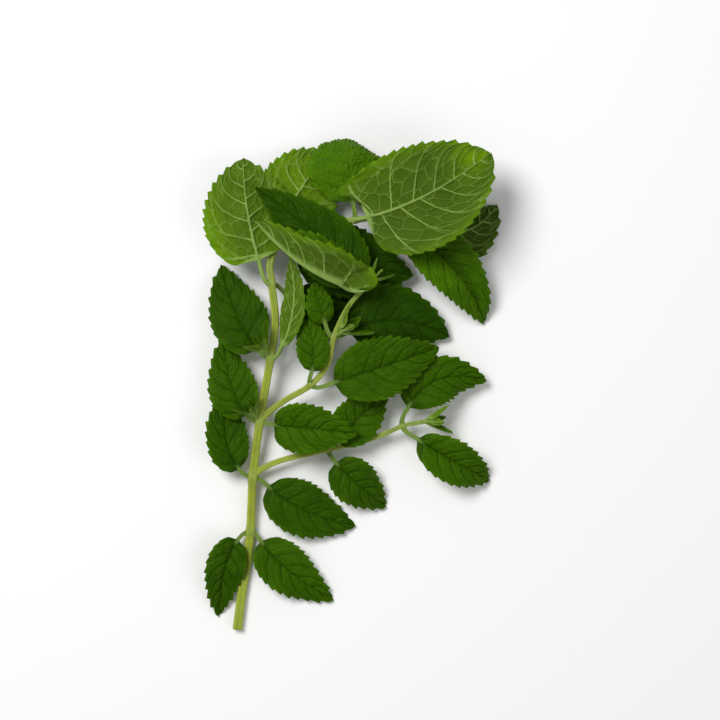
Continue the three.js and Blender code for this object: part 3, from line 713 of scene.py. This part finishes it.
def mottleGroup():
    # Soft patches and fine specks over a colour
    tree, given, result = newGroup("patchyTissue", [
        ("Skin", "NodeSocketVector", None), ("Color", "NodeSocketColor", (0.1, 0.3, 0.05, 1)),
        ("Patch Color", "NodeSocketColor", (0.1, 0.2, 0.05, 1)), ("Patches", "NodeSocketFloat", 0.3),
        ("Specks", "NodeSocketFloat", 0.2),
    ], [("Color", "NodeSocketColor"), ("Grain", "NodeSocketFloat")])
    g = Graph(tree)
    patch = g.add("TexNoise", None, Vector=given.outputs["Skin"], Scale=0.16, Detail=4.0, Roughness=0.6)
    mask = g.math("MULTIPLY", g.spread(patch.outputs[0], 0.38, 0.66), given.outputs["Patches"])
    colour = g.mix(mask, given.outputs["Color"], given.outputs["Patch Color"])
    speck = g.add("TexNoise", None, Vector=given.outputs["Skin"], Scale=2.6, Detail=3.0, Roughness=0.7)
    change = g.math("MULTIPLY", g.math("SUBTRACT", speck.outputs[0], 0.5), given.outputs["Specks"])
    light = g.math("ADD", 1.0, g.math("MULTIPLY", change, 2.0))
    scaled = g.add("VectorMath", {"operation": "SCALE"}, i0=colour, Scale=light)
    tree.links.new(scaled.outputs[0], result.inputs["Color"])
    tree.links.new(speck.outputs[0], result.inputs["Grain"])
    return tree


def fineNetGroup():
    # The finest veins: borders of small cells over the flattened blade, with the dimples of oil
    # glands between them
    tree, given, result = newGroup("fineVeinNet", [
        ("Skin", "NodeSocketVector", None), ("Cell Size", "NodeSocketFloat", 1.1),
    ], [("Net", "NodeSocketFloat"), ("Glands", "NodeSocketFloat")])
    g = Graph(tree)
    warp = g.add("TexNoise", None, Vector=given.outputs["Skin"], Scale=0.8, Detail=2.0)
    shift = g.add("VectorMath", {"operation": "MULTIPLY_ADD"}, i0=warp.outputs["Color"],
                  i1=(0.6, 0.6, 0.0), i2=given.outputs["Skin"]).outputs[0]
    scale = g.math("DIVIDE", 1.0, given.outputs["Cell Size"])
    cells = g.add("TexVoronoi", {"feature": "DISTANCE_TO_EDGE", "voronoi_dimensions": "2D"},
                  Vector=shift, Scale=scale)
    tree.links.new(g.spread(cells.outputs["Distance"], 0.02, 0.16, 1.0, 0.0), result.inputs["Net"])
    dots = g.add("TexVoronoi", {"voronoi_dimensions": "2D"}, Vector=given.outputs["Skin"], Scale=1.9)
    tree.links.new(g.spread(dots.outputs["Distance"], 0.08, 0.24, 1.0, 0.0), result.inputs["Glands"])
    return tree


groups = {"mottle": mottleGroup(), "net": fineNetGroup()}

# Dark and bright are the two ends of a leaf's tone
leafFinish = {
    "upperDark": (0.010, 0.045, 0.0003, 1), "upperBright": (0.078, 0.19, 0.001, 1),
    # the furrow colour is painted shade along the sunken veins of the upper side
    "upperFurrowPaintedShade": (0.006, 0.028, 0.0004, 1),
    "underPale": (0.048, 0.097, 0.0068, 1), "underBright": (0.125, 0.25, 0.001, 1),
    "underVein": (0.28, 0.41, 0.10, 1), "youngTint": (0.13, 0.26, 0.01, 1),
    "patchTint": (0.62, 0.72, 0.6, 1), "patches": 0.55, "specks": 0.28,
    # how much of the vein's colour or, on the upper side, of the painted furrow shade shows: modelled veins,
    # then the finest net
    "furrowPaintedShadeShare": 0.55, "fineFurrowPaintedShadeShare": 0.3, "veinShare": 0.9, "fineVeinShare": 0.07,
    "roughness": 0.46, "underRoughness": 0.62, "roughnessChange": 0.3,
    "glandHeight": -0.35, "grainHeight": 0.9, "bumpStrength": 0.55, "bumpDistance": 0.12 * mm,
    "specularLevel": 0.07, "specularTint": (0.8, 1.0, 0.45, 1),
    "scatterRadius": (0.9, 1.3, 0.2), "scatterScale": 0.6 * mm,
}


def groupNode(g, key, **inputs):
    node = g.tree.nodes.new("ShaderNodeGroup")
    node.node_tree = groups[key]
    for name, value in inputs.items():
        g.put(node.inputs[name.replace("_", " ")], value)
    return node


def leafMaterial(name, netSize, translucence):
    # tone mixes dark and bright, under tells the underside from the upper side, vein is the mask
    # of the modelled veins, young the tint of leaves that still unfold
    c = leafFinish
    material = bpy.data.materials.new(name)
    material.use_nodes = True
    g = Graph(material.node_tree)
    shader = material.node_tree.nodes["Principled BSDF"]
    skin = g.add("Attribute", {"attribute_name": "skin"}).outputs["Vector"]
    vein, tone, under, young = (g.value(key) for key in ("vein", "tone", "under", "young"))
    fine = groupNode(g, "net", Skin=skin, Cell_Size=netSize)
    net = fine.outputs["Net"]
    crisp = g.spread(vein, 0.15, 0.8)
    upper = g.mix(tone, c["upperDark"], c["upperBright"])
    # the upper side darkens along the veins and the fine net: painted shade in their furrows
    upper = g.mix(g.math("MULTIPLY", crisp, c["furrowPaintedShadeShare"]), upper, c["upperFurrowPaintedShade"])
    upper = g.mix(g.math("MULTIPLY", net, c["fineFurrowPaintedShadeShare"]), upper, c["upperFurrowPaintedShade"])
    lower = g.mix(tone, c["underPale"], c["underBright"])
    lower = g.mix(g.math("MULTIPLY", net, c["fineVeinShare"]), lower, c["underVein"])
    lower = g.mix(g.math("MULTIPLY", crisp, c["veinShare"]), lower, c["underVein"])
    colour = g.mix(under, upper, lower)
    colour = g.mix(young, colour, c["youngTint"])
    darker = g.mix(1.0, colour, c["patchTint"], "MULTIPLY")
    patchy = groupNode(g, "mottle", Skin=skin, Color=colour, Patch_Color=darker,
                       Patches=c["patches"], Specks=c["specks"])
    g.put(shader.inputs["Base Color"], patchy.outputs["Color"])
    rough = g.spread(under, 0.0, 1.0, c["roughness"], c["underRoughness"])
    change = g.math("MULTIPLY", g.math("SUBTRACT", patchy.outputs["Grain"], 0.5), c["roughnessChange"])
    rough = g.math("ADD", rough, change)
    g.put(shader.inputs["Roughness"], rough)
    # fine veins stand out on the underside and lie in furrows on the upper side
    raised = g.math("MULTIPLY", net, g.math("SUBTRACT", g.math("MULTIPLY", under, 1.7), 1.0))
    glands = g.math("MULTIPLY", fine.outputs["Glands"], c["glandHeight"])
    grain = g.math("MULTIPLY", patchy.outputs["Grain"], c["grainHeight"])
    height = g.math("ADD", g.math("ADD", raised, glands), grain)
    bump = g.add("Bump", None, Strength=c["bumpStrength"], Distance=c["bumpDistance"], Height=height)
    g.put(shader.inputs["Normal"], bump.outputs[0])
    shader.inputs["Specular IOR Level"].default_value = c["specularLevel"]
    shader.inputs["Specular Tint"].default_value = c["specularTint"]
    shader.inputs["Subsurface Weight"].default_value = translucence
    shader.inputs["Subsurface Radius"].default_value = c["scatterRadius"]
    shader.inputs["Subsurface Scale"].default_value = c["scatterScale"]
    return material


stemFinish = {
    "side": (0.26, 0.33, 0.007, 1), "corner": (0.44, 0.51, 0.035, 1), "young": (0.16, 0.28, 0.02, 1),
    "joint": (0.25, 0.33, 0.05, 1), "pith": (0.50, 0.52, 0.26, 1), "shade": (0.13, 0.16, 0.01, 1),
    "cornerShare": 0.6, "jointShare": 0.6, "lineShare": 0.35, "lineStretch": (4.0, 4.0, 0.22),
    "patches": 0.35, "specks": 0.2, "roughness": 0.38, "roughnessChange": 0.25,
    "grainHeight": 0.4, "bumpStrength": 0.5, "bumpDistance": 0.15 * mm,
    "translucence": 0.15, "scatterRadius": (1.0, 1.0, 0.3), "scatterScale": 0.8 * mm,
}


def stemMaterial(name):
    # ribs along the corners are lighter, partly their own paler colour and partly a painted highlight along
    # the edges; the top of the shoot is greener, the cut end shows pale pith
    c = stemFinish
    material = bpy.data.materials.new(name)
    material.use_nodes = True
    g = Graph(material.node_tree)
    shader = material.node_tree.nodes["Principled BSDF"]
    skin = g.add("Attribute", {"attribute_name": "skin"}).outputs["Vector"]
    corner, joint, share, pith = (g.value(key) for key in ("corner", "joint", "share", "pith"))
    colour = g.mix(g.spread(share, 0.35, 1.0), c["side"], c["young"])
    # lighter corners: partly paler ribs, partly painted highlight along the edges
    colour = g.mix(g.math("MULTIPLY", corner, c["cornerShare"]), colour, c["corner"])
    colour = g.mix(g.math("MULTIPLY", joint, c["jointShare"]), colour, c["joint"])
    # fine lines along the stem: noise drawn out lengthways
    drawn = g.add("VectorMath", {"operation": "MULTIPLY"}, i0=skin, i1=c["lineStretch"]).outputs[0]
    lines = g.add("TexNoise", None, Vector=drawn, Scale=1.0, Detail=3.0, Roughness=0.6).outputs[0]
    colour = g.mix(g.math("MULTIPLY", g.spread(lines, 0.5, 0.7), c["lineShare"]), colour, c["shade"])
    patchy = groupNode(g, "mottle", Skin=skin, Color=colour, Patch_Color=c["shade"],
                       Patches=c["patches"], Specks=c["specks"])
    colour = g.mix(pith, patchy.outputs["Color"], c["pith"])
    g.put(shader.inputs["Base Color"], colour)
    change = g.math("MULTIPLY", lines, c["roughnessChange"])
    g.put(shader.inputs["Roughness"], g.math("ADD", c["roughness"], change))
    height = g.math("ADD", lines, g.math("MULTIPLY", patchy.outputs["Grain"], c["grainHeight"]))
    bump = g.add("Bump", None, Strength=c["bumpStrength"], Distance=c["bumpDistance"], Height=height)
    g.put(shader.inputs["Normal"], bump.outputs[0])
    shader.inputs["Subsurface Weight"].default_value = c["translucence"]
    shader.inputs["Subsurface Radius"].default_value = c["scatterRadius"]
    shader.inputs["Subsurface Scale"].default_value = c["scatterScale"]
    return material


leafSkin = leafMaterial("mintLeaf", 1.1, 0.2)
youngSkin = leafMaterial("youngMintLeaf", 0.6, 0.3)
stemSkin = stemMaterial("mintStem")
print("stage: materials made")


def triangleCount(piece):
    return sum(len(p.vertices) - 2 for p in piece.data.polygons)


def stemPiece():
    # the three shoots, their ends inside each other, and hairs mostly on the four corners
    rng = np.random.default_rng(11)
    parts = []
    for name, shoot in shoots.items():
        tube, grid, across, above, turn = shootTube(shoot, name != "main")
        parts.append(tube)
        rows, columns = grid.shape[:2]
        count = int(rows * stem["ringStep"] * stem["hairsPerMm"])
        weight = np.maximum(-np.cos(4 * turn), stem["leastHair"])
        j = rng.choice(columns, count, p=weight / weight.sum())
        i = rng.integers(0, rows, count)
        a = turn[j][:, None]
        outward = across[i] * np.cos(a) + above[i] * np.sin(a)
        lengths = stem["hairLength"] * rng.uniform(0.5, 1.2, count)
        parts.append(hairSpikes(grid[i, j], outward, lengths, stem["hairRadius"], rng,
                                {"pith": 0.45, "corner": 1, "joint": 0, "share": 0.8}))
    return makePiece("stem_ribbed", "stem", joinParts(parts), [stemSkin])


stemPiece()
print("stage: stem made")

total = 0
for number, (name, (node, middle, tip, width, form)) in enumerate(leaves.items()):
    leaf = {**leafForm, **form, "node": node, "width": width,
            "middle": np.array(middle) - layoutMiddle, "tip": np.array(tip) - layoutMiddle}
    piece = makePiece(name + "_veined", name, leafShell(leaf, number + 1), [leafSkin])
    total += triangleCount(piece)
print("stage: leaves made,", total, "triangles")


# The growing tips and the young shoots in leaf axils: pairs of small leaves on a short core.
# gap is how far the core stands off the middle of the stem, splay and turn are in degrees.
tuft = {
    "shrink": 0.66, "lessSplay": 0.28, "coreLength": 0.32, "corePoints": 16, "extraPairs": 1,
    "firstLeaf": 0.15, "leafSpacing": 0.22, "highestLeaf": 0.85,  # places of the leaves on the core
    "toothedFrom": 6, "leafWidth": 0.5, "leafStalk": 0.12, "leafBow": 0.07,  # shares of the length
    "leaf": {"fold": 26, "curl": -10, "stalkScale": 0.5, "wave": 0.1, "lobes": (0, 0), "quilt": 0.2,
             "pucker": 0.15, "grain": 0.55},
    "coreValues": {"vein": 0.8, "tone": 0.6, "under": 1.0, "young": 0.35},
}
# shade below 1 makes a tuft darker and less yellow: partly the darker green deep in the sprig, partly painted
# shade for tufts that lie in shadow
tipForm = {"gap": 0.5, "pairs": 3, "splay": 30, "turn": 0, "shade": 1}
axilForm = {**tipForm, "pairs": 2, "splay": 32}
tufts = {
    "axil_3": ("n3", {**axilForm, "heading": (-0.5, 0.8, 0.9), "gap": 3.2, "longest": 10, "shade": 0.6}),
    "axil_4": ("n4", {**axilForm, "heading": (-0.45, 0.8, 0.9), "gap": 3.4, "longest": 12, "turn": 30,
                      "shade": 0.6}),
    "upper_axil_2": ("s2", {**axilForm, "heading": (0.75, 0.5, 0.6), "gap": 3, "longest": 13, "turn": 10,
                            "shade": 0.7}),
    "tip_main": ("mainTip", {**tipForm, "heading": (1, 0.25, 0.12), "longest": 10, "turn": 40}),
    "tip_upper": ("upperTip", {**tipForm, "heading": (0.7, 0.7, -0.05), "longest": 8.5, "shade": 0.3}),
    "tip_lower": ("lowerTip", {**tipForm, "heading": (1, 0.1, 0.2), "longest": 11, "turn": 20}),
}


def tuftParts(node, form, seed):
    # A short stalk from inside the stem to the core, then pairs of leaves, each turned across
    # the last one, smaller and more upright
    direction = unit(np.array(form["heading"], float))
    centre = nodePoints[node][0]
    origin = centre + direction * form["gap"]
    _, across, above = frameAlong(direction)
    longest = form["longest"]
    coreLength = longest * tuft["coreLength"]
    place = np.array([-form["gap"], -form["gap"] * 0.5, 0, 0.3 * coreLength, 0.75 * coreLength, coreLength,
                      1.04 * coreLength])
    radius = np.array([0.62, 0.55, 0.62, 0.95, 0.75, 0.25, 0.02])
    turn = np.linspace(0, 2 * np.pi, tuft["corePoints"], endpoint=False)
    around = lambda a: across * np.cos(a)[..., None] + above * np.sin(a)[..., None]
    grid = origin + direction * place[:, None, None] + radius[:, None, None] * around(turn)[None]
    rows, columns = grid.shape[:2]
    count = rows * columns
    core = {
        "points": grid.reshape(-1, 3), "skin": grid.reshape(-1, 3).copy(),
        "quads": np.vstack([gridFaces(rows, columns, wrap=True), endFan(0, columns, flip=True),
                            endFan((rows - 1) * columns, columns)]),
        "values": {key: np.full(count, value) for key, value in tuft["coreValues"].items()},
    }
    parts = [core]
    for pair in range(form["pairs"] + tuft["extraPairs"]):
        size = longest * tuft["shrink"] ** pair
        upCore = min(tuft["firstLeaf"] + tuft["leafSpacing"] * pair, tuft["highestLeaf"])
        root = origin + direction * coreLength * upCore
        lean = np.radians(form["splay"] * (1 - tuft["lessSplay"] * pair))
        for opposite in (0, 180):
            angle = form["turn"] + 90 * pair + opposite
            outward = around(np.radians(np.array(float(angle))))
            spot = lambda share, bow: (root + direction * share * size * np.cos(lean)
                                       + outward * (share * size * np.sin(lean) + bow))
            # tone and young tint scale with shade, partly painted shade
            leaf = {**leafForm, **tuft["leaf"], "root": root, "middle": spot(0.5, size * tuft["leafBow"]),
                    "tip": spot(1.0, 0.0), "width": size * tuft["leafWidth"], "roll": angle + 90,
                    "stalk": size * tuft["leafStalk"], "tone": (0.5 + 0.1 * pair) * form["shade"],
                    "young": (0.3 + 0.15 * pair) * form["shade"]}
            parts.append(leafShell(leaf, seed * 10 + pair * 2 + (opposite > 0),
                                   toothed=size > tuft["toothedFrom"]))
    return joinParts(parts)


for number, (name, (node, form)) in enumerate(tufts.items()):
    makePiece(name + "_leafy", name, tuftParts(node, form, number + 40), [youngSkin])
total = sum(triangleCount(piece) for piece in bpy.data.objects if piece.type == "MESH")
print("stage: young tips made,", total, "triangles in all")


# Floor, light and camera
studio = {
    "floorSize": 3.0, "floorDrop": 0.02 * mm, "floorColour": (0.93, 0.93, 0.925, 1),
    "floorRoughness": 0.7, "skyColour": (1.0, 1.0, 1.0, 1), "skyStrength": 0.33,
    "keyPower": 10.4, "keySize": 0.55, "keyPlace": (-0.45, 0.42, 0.95),
    "fillPower": 2.4, "fillSize": 0.9, "fillPlace": (0.8, -0.5, 0.8),
    "frameWidth": 259.2 * mm, "frameMiddle": (2.823 * mm, 8.799 * mm, 10 * mm),
    "lens": 120.0, "sensorWidth": 36.0,
}


def areaLight(name, place, power, size):
    light = bpy.data.lights.new(name, "AREA")
    light.energy, light.size, light.shape = power, size, "DISK"
    lamp = bpy.data.objects.new(name, light)
    lamp.location = place
    lamp.rotation_euler = (-Vector(place)).to_track_quat("-Z", "Y").to_euler()  # shines at the origin
    bpy.context.scene.collection.objects.link(lamp)


def makeStudio():
    s = studio["floorSize"] / 2
    z = -studio["floorDrop"]
    mesh = bpy.data.meshes.new("paleFloor")
    mesh.from_pydata([(-s, -s, z), (s, -s, z), (s, s, z), (-s, s, z)], [], [(0, 1, 2, 3)])
    floor = bpy.data.objects.new("paleFloor", mesh)
    bpy.context.scene.collection.objects.link(floor)
    material = bpy.data.materials.new("paleFloor")
    material.use_nodes = True
    shader = material.node_tree.nodes["Principled BSDF"]
    shader.inputs["Base Color"].default_value = studio["floorColour"]
    shader.inputs["Roughness"].default_value = studio["floorRoughness"]
    mesh.materials.append(material)
    areaLight("key", studio["keyPlace"], studio["keyPower"], studio["keySize"])
    areaLight("fill", studio["fillPlace"], studio["fillPower"], studio["fillSize"])
    world = bpy.data.worlds.new("softSky")
    world.use_nodes = True
    sky = world.node_tree.nodes["Background"]
    sky.inputs["Color"].default_value = studio["skyColour"]
    sky.inputs["Strength"].default_value = studio["skyStrength"]
    bpy.context.scene.world = world
    camera = bpy.data.cameras.new("camera")
    camera.sensor_width, camera.lens = studio["sensorWidth"], studio["lens"]
    distance = studio["frameWidth"] * camera.lens / camera.sensor_width
    x, y, z = studio["frameMiddle"]
    eye = bpy.data.objects.new("camera", camera)
    eye.location = (x, y, z + distance)
    bpy.context.scene.collection.objects.link(eye)
    bpy.context.scene.camera = eye
    bpy.context.scene.view_settings.view_transform = "Standard"


makeStudio()
print("stage: floor, lights and camera made")
